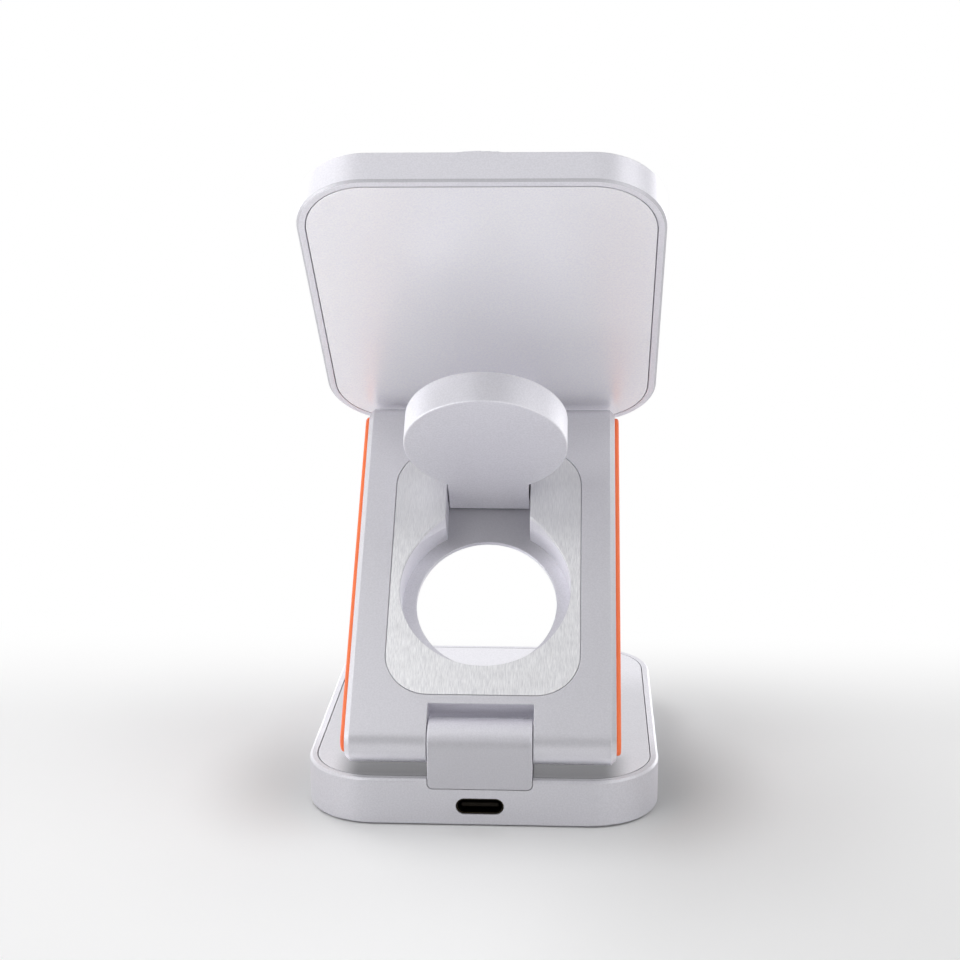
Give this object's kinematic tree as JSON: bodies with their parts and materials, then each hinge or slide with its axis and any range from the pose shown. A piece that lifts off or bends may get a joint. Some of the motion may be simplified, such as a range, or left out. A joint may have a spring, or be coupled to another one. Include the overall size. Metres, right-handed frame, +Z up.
{
  "type": "three in one wireless charger",
  "caption": "Folding desk charger: a base slab for earbuds, a hinged arm with a swing-out watch puck, and a hinged phone pad with a raised round magnetic face.",
  "frame": {"origin": "middle of the underside of the foot pad, on the surface that the charger stands on", "axes": "+X along the hinges, +Y from the rear edge with the hinge and the inlet to the front, +Z up"},
  "size_m": [0.065, 0.0724, 0.1192],
  "materials": {
    "anodised_silver": "satin",
    "brushed_inlay": "brushed along the arm",
    "orange_plastic": "matte",
    "grey_plastic": "matte",
    "white_plastic": "fine matte",
    "black_plastic": "matte",
    "silicone_grey": "matte",
    "steel": "plain",
    "copper": "wound wire",
    "ferrite": "matte",
    "circuit_board": "satin"
  },
  "bodies": {
    "base": {"base_housing": "anodised_silver", "base_top_panel": "anodised_silver", "base_bottom_cover": "grey_plastic", "base_foot_pad": "silicone_grey", "base_cover_screws": "steel", "lower_hinge_bracket": "anodised_silver", "lower_bracket_screws": "steel", "usb_c_shell": "steel", "usb_c_tongue": "black_plastic", "base_board": "circuit_board", "earbud_coil": "copper", "earbud_ferrite": "ferrite"},
    "arm": {"arm_frame": "anodised_silver", "arm_front_cover": "anodised_silver", "arm_inlay": "brushed_inlay", "arm_strip_left": "orange_plastic", "arm_strip_right": "orange_plastic", "arm_flat_cable": "circuit_board", "lower_hinge_pin": "steel", "upper_hinge_pin": "steel", "puck_hinge_pin": "steel", "lower_hinge_washers": "white_plastic", "upper_hinge_washers": "white_plastic"},
    "puck": {"puck_housing": "anodised_silver", "puck_dish": "white_plastic", "watch_coil": "copper", "watch_ferrite": "ferrite", "watch_magnet": "steel"},
    "pad": {"pad_housing": "anodised_silver", "pad_back_panel": "anodised_silver", "pad_face": "silicone_grey", "pad_magnets": "steel", "pad_coil": "copper", "pad_ferrite": "ferrite", "pad_board": "circuit_board", "upper_hinge_bracket": "anodised_silver", "upper_bracket_screws": "steel"}
  },
  "joints": [
    {"name": "arm_hinge", "type": "hinge", "parent": "base", "child": "arm", "pos_m": [0, -0.03205, 0.01475], "axis": [1, 0, 0], "range_deg": [-45.3, 44.7]},
    {"name": "pad_hinge", "type": "hinge", "parent": "arm", "child": "pad", "pos_m": [0, 0.01501, 0.0623], "axis": [1, 0, 0], "range_deg": [0, 91.3]},
    {"name": "puck_hinge", "type": "hinge", "parent": "arm", "child": "puck", "pos_m": [0, 0.00496, 0.04924], "axis": [1, 0, 0], "range_deg": [0, 91.3]}
  ],
  "couplings": [
    {"joint": "puck_hinge", "follows": "pad_hinge", "ratio": 1}
  ]
}
